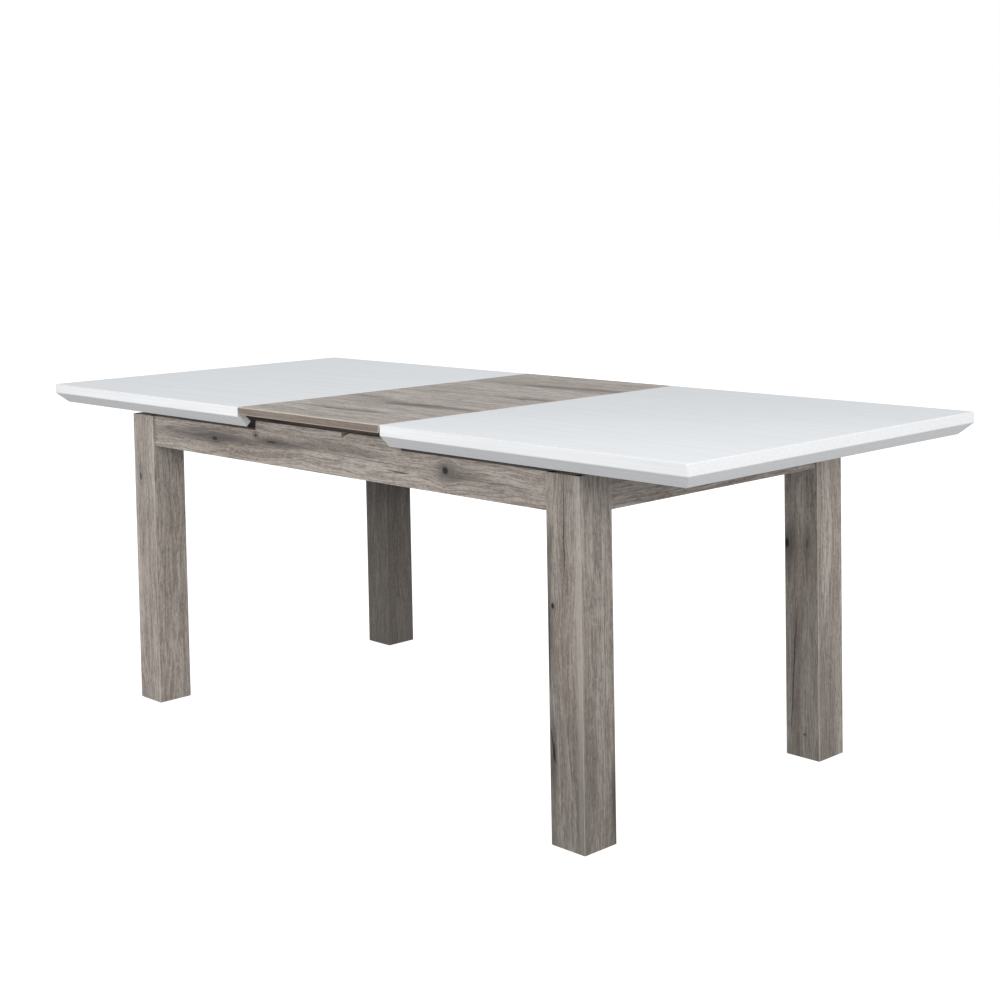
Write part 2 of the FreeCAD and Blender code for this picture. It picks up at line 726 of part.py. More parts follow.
def make_leaf():
    end = open_x - leaf_play
    low_end = end - leaf_undercut
    wire = Part.makePolygon([vec(-end, -half_width, top_height), vec(end, -half_width, top_height),
                             vec(low_end, -half_width, leaf_under),
                             vec(-low_end, -half_width, leaf_under),
                             vec(-end, -half_width, top_height)])
    leaf = Part.Face(wire).extrude(vec(0, top_width, 0))
    holes = [leaf_pocket(y) for y in (-end_dowel_place, end_dowel_place)]
    all_screws = []
    batten_y = apron_in_y - batten_play - batten_width / 2
    for name, sy in (("front", -1), ("rear", 1)):
        y = sy * batten_y
        made = batten_screws(y)
        batten = box(-batten_length / 2, batten_length / 2, y - batten_width / 2,
                     y + batten_width / 2, leaf_under - batten_depth, leaf_under)
        batten_holes = [hole for m in made for hole in m[1]]
        save("leaf_batten_" + name, [cut_all(batten, batten_holes)])
        holes += batten_holes
        all_screws += [m[0] for m in made]
    save("leaf_batten_screws", all_screws)
    save("leaf_board", [cut_all(leaf, holes)])
    reach = guide_width / 2 + side_play + runner_width - packer_margin
    save("leaf_packers", [box(-packer_length / 2, packer_length / 2, sy * guide_place - reach,
                              sy * guide_place + reach, board_under, leaf_under) for sy in (-1, 1)])


def main():
    os.makedirs("parts", exist_ok=True)
    print("top", top_height, "board under", board_under, "strips under", strip_under,
          "base top", base_top, "apron under", apron_under)
    print("open length", 2 * outer_x, "closed length", 2 * half_length + closed_gap)
    make_legs()
    make_corner_joints()
    make_base_boards()
    make_gear()
    make_halves()
    make_leaf()


main()
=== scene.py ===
import json
import math
import bmesh
import bpy
from mathutils import Matrix, Vector


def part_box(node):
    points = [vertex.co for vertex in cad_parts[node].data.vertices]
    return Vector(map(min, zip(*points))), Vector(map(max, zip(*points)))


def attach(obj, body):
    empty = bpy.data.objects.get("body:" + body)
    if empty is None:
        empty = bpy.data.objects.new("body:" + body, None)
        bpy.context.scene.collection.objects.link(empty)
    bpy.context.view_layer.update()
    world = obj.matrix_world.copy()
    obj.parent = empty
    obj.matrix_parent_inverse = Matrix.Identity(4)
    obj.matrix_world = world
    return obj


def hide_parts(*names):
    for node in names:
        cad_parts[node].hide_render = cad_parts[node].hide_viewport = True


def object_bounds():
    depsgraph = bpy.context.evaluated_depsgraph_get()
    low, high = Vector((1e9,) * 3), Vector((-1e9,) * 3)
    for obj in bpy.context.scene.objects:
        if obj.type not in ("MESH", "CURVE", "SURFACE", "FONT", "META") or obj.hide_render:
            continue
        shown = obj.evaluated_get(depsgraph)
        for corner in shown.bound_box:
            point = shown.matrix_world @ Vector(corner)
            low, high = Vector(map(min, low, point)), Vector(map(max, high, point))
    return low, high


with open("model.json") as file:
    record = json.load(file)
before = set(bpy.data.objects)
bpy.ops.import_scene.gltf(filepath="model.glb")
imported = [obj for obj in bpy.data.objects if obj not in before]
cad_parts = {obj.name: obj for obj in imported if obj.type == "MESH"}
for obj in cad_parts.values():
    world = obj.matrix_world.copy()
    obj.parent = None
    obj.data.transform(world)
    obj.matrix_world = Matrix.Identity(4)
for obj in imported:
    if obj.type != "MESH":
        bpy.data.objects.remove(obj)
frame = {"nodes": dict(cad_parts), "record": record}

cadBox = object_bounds()
bodyOf = {node: body for body, nodes in frame["record"]["behaviour"]["bodies"].items() for node in nodes}
slotOf = {part["node"]: part["material_slot"] for part in frame["record"]["subparts"]}
print("frame loaded", len(frame["nodes"]), "nodes")


view = {"place": (2.8642, -2.6070, 1.1970),  # metres
        "yaw": 46.15, "pitch": 3.24, "roll": -1.03,  # degrees
        "lens": 61.31, "sensor": 36.0, "shift": (-0.0067, -0.2)}


def makeCamera():
    data = bpy.data.cameras.new("tableCamera")
    data.lens = view["lens"]
    data.sensor_width = view["sensor"]
    data.shift_x, data.shift_y = view["shift"]
    data.clip_end = 60
    camera = bpy.data.objects.new("tableCamera", data)
    bpy.context.scene.collection.objects.link(camera)
    yaw, pitch, roll = (math.radians(view[k]) for k in ("yaw", "pitch", "roll"))
    turn = Matrix.Rotation(yaw, 4, "Z") @ Matrix.Rotation(math.pi / 2 - pitch, 4, "X")
    camera.matrix_world = Matrix.Translation(view["place"]) @ turn @ Matrix.Rotation(roll, 4, "Z")
    bpy.context.scene.camera = camera


studio = {"backdrop": 1.0, "ambient": 0.69, "sky": (0.965, 0.985, 1.0), "lampColour": (1.0, 0.985, 0.965),
          "lamps": {  # place, aim, width, height, watts
              "frontNear": ((0.3, -2.9, 1.6), (0.1, -0.4, 0.6), 1.6, 1.0, 23),
              "sideRight": ((4.6, -1.6, 1.9), (0.5, 0.0, 0.5), 2.0, 1.6, 66),
              "lowLeft": ((-3.4, -3.0, 0.7), (0.0, 0.0, 0.5), 2.0, 1.2, 26),
              "sideBack": ((3.6, 1.6, 1.1), (0.7, 0.0, 0.5), 1.6, 1.2, 17),
              "aboveRight": ((2.0, 0.6, 3.2), (0.9, 0.0, 0.76), 1.2, 1.2, 7)}}
floorLook = {"size": 40.0, "colour": (0.32, 0.32, 0.32), "roughness": 0.9, "glow": 1.0}


def makeStudio():
    bpy.context.scene.view_settings.view_transform = "Standard"
    world = bpy.data.worlds.new("studio")
    world.use_nodes = True
    tree = world.node_tree
    path = addNode(tree, "ShaderNodeLightPath", (-600, 0))
    power = addNode(tree, "ShaderNodeMapRange", (-300, 0), {3: studio["ambient"], 4: studio["backdrop"]})
    tree.links.new(path.outputs["Is Camera Ray"], power.inputs[0])
    sky = mixColour(tree, path.outputs["Is Camera Ray"], studio["sky"], (1.0, 1.0, 1.0), (-300, 200))
    tree.links.new(sky, tree.nodes["Background"].inputs["Color"])
    tree.links.new(power.outputs[0], tree.nodes["Background"].inputs["Strength"])
    bpy.context.scene.world = world
    for name, (place, aim, width, height, watts) in studio["lamps"].items():
        data = bpy.data.lights.new(name, "AREA")
        data.shape = "RECTANGLE"
        data.size = width
        data.size_y = height
        data.energy = watts
        data.color = studio["lampColour"]
        lamp = bpy.data.objects.new(name, data)
        lamp.location = place
        lamp.rotation_euler = (Vector(aim) - Vector(place)).to_track_quat("-Z", "Y").to_euler()
        bpy.context.scene.collection.objects.link(lamp)


def makeFloor():
    bm = bmesh.new()
    bmesh.ops.create_grid(bm, x_segments=1, y_segments=1, size=floorLook["size"] / 2)
    bmesh.ops.translate(bm, verts=bm.verts, vec=(0, 0, cadBox[0][2]))
    mesh = bpy.data.meshes.new("floor")
    bm.to_mesh(mesh)
    bm.free()
    floor = bpy.data.objects.new("floor", mesh)
    bpy.context.scene.collection.objects.link(floor)
    material = bpy.data.materials.new("paleFloor")
    material.use_nodes = True
    shader = material.node_tree.nodes["Principled BSDF"]
    shader.inputs["Base Color"].default_value = (*floorLook["colour"], 1)
    shader.inputs["Roughness"].default_value = floorLook["roughness"]
    shader.inputs["Emission Color"].default_value = (1, 1, 1, 1)
    tree = material.node_tree
    path = addNode(tree, "ShaderNodeLightPath", (-600, 0))
    glow = calc(tree, "MULTIPLY", path.outputs["Is Camera Ray"], floorLook["glow"])
    tree.links.new(glow, shader.inputs["Emission Strength"])
    mesh.materials.append(material)


def addNode(tree, kind, place, values=None, **settings):
    node = tree.nodes.new(kind)
    node.location = place
    for key, value in settings.items():
        setattr(node, key, value)
    for key, value in (values or {}).items():
        node.inputs[key].default_value = value
    return node


def newGroup(name, inputs, outputs):
    # inputs and outputs are (name, kind, default) with kind Float, Vector or Color
    group = bpy.data.node_groups.new(name, "ShaderNodeTree")
    for inOut, sockets in (("INPUT", inputs), ("OUTPUT", outputs)):
        for socketName, kind, default in sockets:
            socket = group.interface.new_socket(socketName, in_out=inOut, socket_type="NodeSocket" + kind)
            if default is not None:
                socket.default_value = default
    start = addNode(group, "NodeGroupInput", (-1400, 0))
    end = addNode(group, "NodeGroupOutput", (1000, 0))
    return group, start, end


def calc(tree, operation, a, b, place=(0, 0), clamp=False):
    # one Math node; a and b are sockets or numbers
    node = addNode(tree, "ShaderNodeMath", place, operation=operation, use_clamp=clamp)
    for socket, value in zip(node.inputs, (a, b)):
        if isinstance(value, (int, float)):
            socket.default_value = value
        elif value is not None:
            tree.links.new(value, socket)
    return node.outputs[0]


def rangeOf(tree, value, low, high, toLow=0.0, toHigh=1.0, place=(0, 0)):
    node = addNode(tree, "ShaderNodeMapRange", place, {1: low, 2: high, 3: toLow, 4: toHigh}, clamp=True)
    node.interpolation_type = "SMOOTHSTEP"
    tree.links.new(value, node.inputs[0])
    return node.outputs[0]


def streakNoise(tree, vector, stretch, detail=3.0, rough=0.6, warp=0.0, place=(0, 0)):
    # noise drawn out along an axis: stretch is how many cells per metre on X, Y and Z
    mapping = addNode(tree, "ShaderNodeMapping", place, {"Scale": stretch})
    tree.links.new(vector, mapping.inputs["Vector"])
    noise = addNode(tree, "ShaderNodeTexNoise", (place[0] + 200, place[1]),
                    {"Scale": 1.0, "Detail": detail, "Roughness": rough, "Distortion": warp})
    tree.links.new(mapping.outputs[0], noise.inputs["Vector"])
    return noise.outputs["Fac"]


def mixColour(tree, factor, a, b, place=(0, 0), blend="MIX"):
    node = addNode(tree, "ShaderNodeMix", place, data_type="RGBA", blend_type=blend)
    for socket, value in ((node.inputs[0], factor), (node.inputs[6], a), (node.inputs[7], b)):
        if isinstance(value, (int, float)):
            socket.default_value = value
        elif isinstance(value, tuple):
            socket.default_value = (*value, 1)
        else:
            tree.links.new(value, socket)
    return node.outputs[2]


def layOver(tree, colour, mask, share, over, place=(0, 0)):
    # lays a second colour over the first, by a mask and a share of it
    return mixColour(tree, calc(tree, "MULTIPLY", mask, share), colour, over, place)


knotShape = {"spread": 0.35, "pull": 0.72,  # how far the grain is swept, and how strongly
             "heart": (0.25, 0.55), "halo": (0.3, 1.9)}  # inner and outer reach, in half-sizes


def makeKnotGroup():
    # grain swept round an oval knot, with masks for its dark heart and its shadow
    group, start, end = newGroup("woodKnot", [
        ("Vector", "Vector", None), ("Shape Vector", "Vector", None), ("Centre", "Vector", (0, 0, 0)),
        ("Size", "Vector", (1, 1, 1)), ("Sweep", "Vector", (0, 1, 1))],
        [("Vector", "Vector", None), ("Heart", "Float", None), ("Halo", "Float", None)])
    link = group.links.new
    away = addNode(group, "ShaderNodeVectorMath", (-1100, 200), operation="SUBTRACT")
    link(start.outputs["Shape Vector"], away.inputs[0])
    link(start.outputs["Centre"], away.inputs[1])
    sized = addNode(group, "ShaderNodeVectorMath", (-900, 200), operation="DIVIDE")
    link(away.outputs[0], sized.inputs[0])
    link(start.outputs["Size"], sized.inputs[1])
    length = addNode(group, "ShaderNodeVectorMath", (-700, 200), operation="LENGTH")
    link(sized.outputs[0], length.inputs[0])
    reach = length.outputs["Value"]
    squared = calc(group, "MULTIPLY", reach, reach, (-500, 200))
    fall = calc(group, "MULTIPLY", squared, -knotShape["spread"], (-400, 200))
    bell = calc(group, "EXPONENT", fall, 0, (-300, 200))
    pull = addNode(group, "ShaderNodeVectorMath", (-200, 0), operation="SCALE")
    link(away.outputs[0], pull.inputs[0])
    link(calc(group, "MULTIPLY", bell, -knotShape["pull"], (-300, 0)), pull.inputs["Scale"])
    swept = addNode(group, "ShaderNodeVectorMath", (0, 0), operation="MULTIPLY_ADD")
    link(pull.outputs[0], swept.inputs[0])
    link(start.outputs["Sweep"], swept.inputs[1])
    link(start.outputs["Vector"], swept.inputs[2])
    link(swept.outputs[0], end.inputs["Vector"])
    link(rangeOf(group, reach, *knotShape["heart"], 1, 0, (200, 300)), end.inputs["Heart"])
    link(rangeOf(group, reach, *knotShape["halo"], 1, 0, (200, 100)), end.inputs["Halo"])
    return group


def makeCrackGroup():
    # a thin dark split: a narrow band about a line that wanders, faded at both ends
    group, start, end = newGroup("woodCrack", [
        ("Along", "Float", 0.0), ("Across", "Float", 0.0), ("From", "Float", 0.0), ("To", "Float", 1.0),
        ("Place", "Float", 0.0), ("Lean", "Float", 0.0), ("Width", "Float", 0.001),
        ("Wander", "Float", 0.004)],
        [("Crack", "Float", None)])
    link = group.links.new
    along, across = start.outputs["Along"], start.outputs["Across"]
    low, high = start.outputs["From"], start.outputs["To"]
    noise = addNode(group, "ShaderNodeTexNoise", (-1000, -200),
                    {"Scale": 14.0, "Detail": 3.0, "Roughness": 0.6}, noise_dimensions="1D")
    link(along, noise.inputs["W"])
    centred = calc(group, "SUBTRACT", noise.outputs["Fac"], 0.5)
    sway = calc(group, "MULTIPLY", centred, start.outputs["Wander"])
    leaning = calc(group, "MULTIPLY", calc(group, "SUBTRACT", along, low), start.outputs["Lean"])
    line = calc(group, "ADD", calc(group, "ADD", start.outputs["Place"], sway), leaning)
    offset = calc(group, "ABSOLUTE", calc(group, "SUBTRACT", across, line), 0)
    middle = calc(group, "MULTIPLY", calc(group, "ADD", low, high), 0.5)
    half = calc(group, "MULTIPLY", calc(group, "SUBTRACT", high, low), 0.5)
    fromMiddle = calc(group, "ABSOLUTE", calc(group, "SUBTRACT", along, middle), 0)
    ends = calc(group, "DIVIDE", fromMiddle, half)
    taper = calc(group, "SUBTRACT", 1.0, calc(group, "POWER", ends, 3.0), clamp=True)
    width = calc(group, "MULTIPLY", start.outputs["Width"], taper)
    inside = calc(group, "SUBTRACT", 1.0, calc(group, "DIVIDE", offset, width), clamp=True)
    link(calc(group, "MULTIPLY", inside, calc(group, "GREATER_THAN", taper, 0.01)), end.inputs["Crack"])
    return group


oakGrain = {  # cells per metre along and across the grain, detail, roughness, warp
    "bands": ((2.0, 38, 38), 4, 0.6, 0.3), "figure": ((1.5, 42, 42), 3, 0.5, 0.5),
    "streaks": ((9, 260, 260), 3, 0.6, 0.2), "pores": ((60, 330, 330), 2, 0.6, 0.2),
    "flecks": ((110, 300, 300), 2, 0.6, 0.0), "ringCount": 7.0, "ringShare": 0.75,
    "poreDepth": 0.6, "lineDepth": 0.4,
    "drift": (0.0, 0.045, 0.045)}  # metres that the grain wanders sideways


def makeOakGroup():
    # weathered oak seen along its grain on X: broad bands, ring lines, pores and pale flecks
    masks = [(name, "Float", None) for name in ("Bands", "Lines", "Pores", "Flecks", "Height")]
    group, start, end = newGroup("weatheredOak", [("Vector", "Vector", None)], masks)
    link = group.links.new
    vector = start.outputs["Vector"]
    drift = addNode(group, "ShaderNodeTexNoise", (-1200, -300), {"Scale": 3.0, "Detail": 2.0})
    link(vector, drift.inputs["Vector"])
    centred = addNode(group, "ShaderNodeVectorMath", (-1000, -300), {1: (0.5, 0.5, 0.5)},
                      operation="SUBTRACT")
    link(drift.outputs["Color"], centred.inputs[0])
    wavy = addNode(group, "ShaderNodeVectorMath", (-800, -300), {1: oakGrain["drift"]},
                   operation="MULTIPLY_ADD")
    link(centred.outputs[0], wavy.inputs[0])
    link(vector, wavy.inputs[2])
    flow = wavy.outputs[0]
    bands = streakNoise(group, flow, *oakGrain["bands"], (-600, 300))
    figure = streakNoise(group, flow, *oakGrain["figure"], (-600, 0))
    streaks = streakNoise(group, flow, *oakGrain["streaks"], (-600, -200))
    pores = streakNoise(group, flow, *oakGrain["pores"], (-600, -400))
    flecks = streakNoise(group, flow, *oakGrain["flecks"], (-600, -600))
    rings = calc(group, "MULTIPLY", figure, oakGrain["ringCount"], (-300, 0))
    rings = calc(group, "PINGPONG", rings, 0.5, (-150, 0))
    ringLines = rangeOf(group, rings, 0.04, 0.26, 1, 0, (0, 0))
    fineLines = rangeOf(group, streaks, 0.50, 0.66, 0, 1, (0, -150))
    ringLines = calc(group, "MULTIPLY", ringLines, oakGrain["ringShare"])
    lines = calc(group, "MAXIMUM", ringLines, fineLines, (150, 0))
    poreMask = rangeOf(group, pores, 0.46, 0.66, 0, 1, (0, -400))
    link(rangeOf(group, bands, 0.36, 0.64, 0, 1, (0, 300)), end.inputs["Bands"])
    link(lines, end.inputs["Lines"])
    link(poreMask, end.inputs["Pores"])
    link(rangeOf(group, flecks, 0.50, 0.70, 0, 1, (0, -600)), end.inputs["Flecks"])
    poreDepth = calc(group, "MULTIPLY", poreMask, oakGrain["poreDepth"], (300, -200))
    lineDepth = calc(group, "MULTIPLY", lines, oakGrain["lineDepth"], (300, -400))
    height = calc(group, "ADD", poreDepth, lineDepth, (450, -300))
    link(height, end.inputs["Height"])
    return group


# the colour for the notch's bare face is lighter than bare board: painted light on a face that lies in
# shade
oakColours = {"base": (0.350, 0.308, 0.276), "pale": (0.52, 0.475, 0.435),
              "line": (0.150, 0.120, 0.102), "pore": (0.135, 0.110, 0.094),
              "brown": (0.31, 0.250, 0.205), "heart": (0.020, 0.019, 0.019),
              "halo": (0.105, 0.092, 0.086), "wearAndHighlight": (0.56, 0.52, 0.47), "rawAndLit": (0.66, 0.54, 0.38),
              "banded": (0.165, 0.128, 0.104),
              "bandShare": 0.70, "lineShare": 0.68, "poreShare": 0.42, "fleckShare": 0.45,
              "brownShare": 0.55, "haloShare": 0.75, "bandedShare": 0.85, "rawAndLitShare": 0.9,
              "roughness": (0.46, 0.62), "specular": 0.22, "grain": 0.00012}
oakEffects = {"knot": makeKnotGroup(), "crack": makeCrackGroup(), "oak": makeOakGroup()}
print("knots, splits and grain ready")


def makeOak(name, grain="X", offset=(0, 0, 0), tone=1.0, knots=(), shades=(), cracks=(), edge=0.5):
    # grain: the axis that the grain runs along; knots and shades: centre, half-sizes, strength
    # cracks and dark lines: axes along and across, from, to, place, lean, width, wander, strength
    look = oakColours
    material = bpy.data.materials.new(name)
    material.use_nodes = True
    tree = material.node_tree
    link = tree.links.new
    shader = tree.nodes["Principled BSDF"]
    shader.location = (1500, 0)
    coords = addNode(tree, "ShaderNodeTexCoord", (-2600, 0)).outputs["Object"]
    across = {"X": (0, 1, 1), "Y": (1, 0, 1), "Z": (1, 1, 0)}[grain]
    flow, hearts, halos = coords, [], []
    for n, (centre, size, strength) in enumerate(knots):
        knot = addNode(tree, "ShaderNodeGroup", (-2300 + 180 * n, 300), node_tree=oakEffects["knot"])
        link(flow, knot.inputs["Vector"])
        link(coords, knot.inputs["Shape Vector"])
        knot.inputs["Centre"].default_value = centre
        knot.inputs["Size"].default_value = size
        knot.inputs["Sweep"].default_value = across
        flow = knot.outputs["Vector"]
        hearts.append((knot.outputs["Heart"], strength))
        halos.append((knot.outputs["Halo"], look["haloShare"] * strength))
    for n, (centre, size, strength) in enumerate(shades):
        shade = addNode(tree, "ShaderNodeGroup", (-2300 + 180 * n, -900), node_tree=oakEffects["knot"])
        link(coords, shade.inputs["Shape Vector"])
        shade.inputs["Centre"].default_value = centre
        shade.inputs["Size"].default_value = size
        halos.append((shade.outputs["Halo"], strength))
    parts = addNode(tree, "ShaderNodeSeparateXYZ", (-1300, 0))
    link(flow, parts.inputs[0])
    order = {"X": (0, 1, 2), "Y": (1, 0, 2), "Z": (2, 0, 1)}[grain]
    turned = addNode(tree, "ShaderNodeCombineXYZ", (-1150, 0))
    for socket, axis in zip(turned.inputs, order):
        link(parts.outputs[axis], socket)
    moved = addNode(tree, "ShaderNodeVectorMath", (-1000, 0), {1: offset}, operation="ADD")
    link(turned.outputs[0], moved.inputs[0])
    oak = addNode(tree, "ShaderNodeGroup", (-800, 0), node_tree=oakEffects["oak"])
    link(moved.outputs[0], oak.inputs["Vector"])
    warmth = streakNoise(tree, moved.outputs[0], (1.3, 9, 9), 2, 0.5, 0.4, (-800, -300))
    brown = rangeOf(tree, warmth, 0.4, 0.7, 0, look["brownShare"], (-400, -300))
    colour = mixColour(tree, brown, look["base"], look["brown"], (-300, 0))
    layers = (("Bands", "bandShare", "pale"), ("Lines", "lineShare", "line"),
              ("Pores", "poreShare", "pore"), ("Flecks", "fleckShare", "pale"))
    for n, (mask, share, over) in enumerate(layers):
        colour = layOver(tree, colour, oak.outputs[mask], look[share], look[over], (-100 + 200 * n, 0))
    # shades darken with the halo colour: grain streaks, and painted shade on the legs; a negative strength
    # lightens instead, as painted light
    for halo, strength in halos:
        shadeColour = look["halo"] if strength > 0 else look["wearAndHighlight"]
        broken = calc(tree, "MULTIPLY", halo, rangeOf(tree, oak.outputs["Bands"], 0, 1, 1.0, 0.55))
        colour = layOver(tree, colour, broken, abs(strength), shadeColour, (700, 0))
    for heart, strength in hearts:
        colour = layOver(tree, colour, heart, strength, look["heart"], (850, 0))
    split = addNode(tree, "ShaderNodeSeparateXYZ", (-1300, -700))
    link(coords, split.inputs[0])
    for alongAxis, acrossAxis, low, high, place, lean, width, wander, strength in cracks:
        crack = addNode(tree, "ShaderNodeGroup", (600, -500), node_tree=oakEffects["crack"])
        link(split.outputs["XYZ".index(alongAxis)], crack.inputs["Along"])
        link(split.outputs["XYZ".index(acrossAxis)], crack.inputs["Across"])
        for key, value in zip(("From", "To", "Place", "Lean", "Width", "Wander"),
                              (low, high, place, lean, width, wander)):
            crack.inputs[key].default_value = value
        colour = layOver(tree, colour, crack.outputs[0], strength, look["heart"], (950, 0))
    # arris faces take the colour of worn edges, which also paints their highlight
    marks = (("banded", look["bandedShare"], look["banded"]), ("rawAndLit", look["rawAndLitShare"], look["rawAndLit"]),
             ("arris", edge, look["wearAndHighlight"]))
    for n, (markName, share, over) in enumerate(marks):
        mark = addNode(tree, "ShaderNodeAttribute", (500 + 200 * n, -1000), attribute_name=markName)
        colour = layOver(tree, colour, mark.outputs["Fac"], share, over, (1000, 0))
    # tone scales the whole colour; on the legs it partly paints light and shade
    colour = mixColour(tree, 1.0, colour, (tone, tone, tone), (1250, 0), "MULTIPLY")
    link(colour, shader.inputs["Base Color"])
    rough = rangeOf(tree, oak.outputs["Lines"], 0, 1, *look["roughness"], (1200, -300))
    link(rough, shader.inputs["Roughness"])
    bump = addNode(tree, "ShaderNodeBump", (1300, -600), {"Strength": 0.5, "Distance": look["grain"]})
    bump.invert = True
    link(oak.outputs["Height"], bump.inputs["Height"])
    link(bump.outputs[0], shader.inputs["Normal"])
    shader.inputs["Specular IOR Level"].default_value = look["specular"]
    return material


# the lighter white on the rounded edges is a painted highlight
whiteLook = {"colour": (0.885, 0.90, 0.918), "streak": (0.83, 0.847, 0.868), "arris": (0.93, 0.935, 0.94),
             "streakCells": (3, 160, 160), "cloudCells": (2, 3, 3),  # per metre
             "peelCells": (260, 260, 260),
             "arrisHighlightShare": 0.8, "roughness": (0.30, 0.40), "peel": 0.00002}


def makeWhite(name, offset):
    look = whiteLook
    material = bpy.data.materials.new(name)
    material.use_nodes = True
    tree = material.node_tree
    link = tree.links.new
    shader = tree.nodes["Principled BSDF"]
    coords = addNode(tree, "ShaderNodeTexCoord", (-1600, 0)).outputs["Object"]
    moved = addNode(tree, "ShaderNodeVectorMath", (-1400, 0), {1: offset}, operation="ADD")
    link(coords, moved.inputs[0])
    streaks = streakNoise(tree, moved.outputs[0], look["streakCells"], 4, 0.6, 0.0, (-1200, 200))
    cloud = streakNoise(tree, moved.outputs[0], look["cloudCells"], 2, 0.5, 0.0, (-1200, -100))
    peel = streakNoise(tree, moved.outputs[0], look["peelCells"], 2, 0.5, 0.0, (-1200, -400))
    mask = rangeOf(tree, streaks, 0.35, 0.65, 0, 1, (-800, 200))
    colour = mixColour(tree, mask, look["colour"], look["streak"], (-500, 200))
    # the rounded edges take the lighter white: a painted highlight
    arris = addNode(tree, "ShaderNodeAttribute", (-700, 500), attribute_name="arris")
    colour = layOver(tree, colour, arris.outputs["Fac"], look["arrisHighlightShare"], look["arris"], (-300, 200))
    link(colour, shader.inputs["Base Color"])
    both = calc(tree, "ADD", calc(tree, "MULTIPLY", mask, 0.5), calc(tree, "MULTIPLY", cloud, 0.5))
    link(rangeOf(tree, both, 0.2, 0.8, *look["roughness"], (-500, -100)), shader.inputs["Roughness"])
    bump = addNode(tree, "ShaderNodeBump", (-300, -400), {"Strength": 0.4, "Distance": look["peel"]})
    link(peel, bump.inputs["Height"])
    link(bump.outputs[0], shader.inputs["Normal"])
    return material


timber = {"fineness": 6, "fineShare": 0.5, "fineShade": 0.55, "glossSpread": 0.08}


def makeTimber(name, light, dark, stretch, roughness, grainDepth=0.0001):
    # plain timber or particle board: two tones of one noise, drawn out along the grain
    material = bpy.data.materials.new(name)
    material.use_nodes = True
    tree = material.node_tree
    link = tree.links.new
    shader = tree.nodes["Principled BSDF"]
    coords = addNode(tree, "ShaderNodeTexCoord", (-1600, 0)).outputs["Object"]
    broad = streakNoise(tree, coords, stretch, 5, 0.65, 0.4, (-1200, 200))
    finer = tuple(timber["fineness"] * cells for cells in stretch)
    fine = streakNoise(tree, coords, finer, 3, 0.6, 0.0, (-1200, -200))
    colour = mixColour(tree, rangeOf(tree, broad, 0.35, 0.65), light, dark, (-500, 200))
    shadow = tuple(timber["fineShade"] * c for c in dark)
    fineMask = rangeOf(tree, fine, 0.55, 0.75, 0, timber["fineShare"])
    colour = mixColour(tree, fineMask, colour, shadow, (-300, 200))
    link(colour, shader.inputs["Base Color"])
    spread = timber["glossSpread"]
    gloss = rangeOf(tree, fine, 0.3, 0.7, roughness - spread, roughness + spread)
    link(gloss, shader.inputs["Roughness"])
    bump = addNode(tree, "ShaderNodeBump", (-300, -400), {"Strength": 0.5, "Distance": grainDepth})
    link(fine, bump.inputs["Height"])
    link(bump.outputs[0], shader.inputs["Normal"])
    return material


plate = {"glossSpread": 0.07, "gritDepth": 0.00004}


def makePlate(name, colour, dull, metallic, roughness):
    # zinc plate or moulded plastic: clouded colour and uneven gloss
    material = bpy.data.materials.new(name)
    material.use_nodes = True
    tree = material.node_tree
    link = tree.links.new
    shader = tree.nodes["Principled BSDF"]
    shader.inputs["Metallic"].default_value = metallic
    coords = addNode(tree, "ShaderNodeTexCoord", (-1600, 0)).outputs["Object"]
    cloud = streakNoise(tree, coords, (70, 70, 70), 4, 0.6, 1.0, (-1200, 200))
    grit = streakNoise(tree, coords, (900, 900, 900), 2, 0.5, 0.0, (-1200, -200))
    clouded = mixColour(tree, rangeOf(tree, cloud, 0.35, 0.65), colour, dull, (-500, 200))
    link(clouded, shader.inputs["Base Color"])
    spread = plate["glossSpread"]
    gloss = rangeOf(tree, cloud, 0.3, 0.7, roughness - spread, roughness + spread)
    link(gloss, shader.inputs["Roughness"])
    bump = addNode(tree, "ShaderNodeBump", (-300, -400), {"Strength": 0.3, "Distance": plate["gritDepth"]})
    link(grit, bump.inputs["Height"])
    link(bump.outputs[0], shader.inputs["Normal"])
    return material


finish = {"arris": 0.0009, "leafArris": 0.0016, "segments": 3,  # widths in metres
          "sharp": 0.5,  # radians between faces, past which an edge is rounded
          "planeReach": 0.0052}  # how far from an outer plane an arris may lie
cutFaces = {  # attribute, box low and high, axis: the notch's raw side, lightened as painted light, and the leaf's banded long edges
    "filler_strip_front": ("rawAndLit", (-0.24, -0.40, 0.70), (0.24, -0.38, 0.73), 0),
    "leaf_board": ("banded", (-0.25, -0.46, 0.74), (0.25, 0.46, 0.77), 1)}


def placePiece(name, bm, nodes, material):
    mesh = bpy.data.meshes.new(name)
    bm.to_mesh(mesh)
    bm.free()
    mesh.materials.append(material)
    piece = bpy.data.objects.new(name, mesh)
    bpy.context.scene.collection.objects.link(piece)
    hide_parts(*nodes)
    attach(piece, bodyOf[nodes[0]])


def roundArrises(bm, edges, width, segments):
    # rounds the edges and marks their faces, so that a material can show them lighter, as wear and a
    # painted highlight
    mark = bm.faces.layers.float.new("arris")
    made = bmesh.ops.bevel(bm, geom=edges, offset=width, offset_type="OFFSET", segments=segments,
                           profile=0.5, affect="EDGES", material=-1, clamp_overlap=True)
    for face in made["faces"]:
        face[mark] = 1.0


def onOuterPlanes(edge, low, high):
    # an arris of a boxy part lies on two of its six outer planes
    count = 0
    for axis in range(3):
        for plane in (low[axis], high[axis]):
            if all(abs(v.co[axis] - plane) < finish["planeReach"] for v in edge.verts):
                count += 1
    return count > 1


def markFaces(bm, name, low, high, axis):
    # marks the faces across one axis whose middle lies in a box
    mark = bm.faces.layers.float.new(name)
    for face in bm.faces:
        middle = face.calc_center_median()
        inBox = all(low[k] <= middle[k] <= high[k] for k in range(3))
        face[mark] = float(inBox and abs(face.normal[axis]) > 0.9)


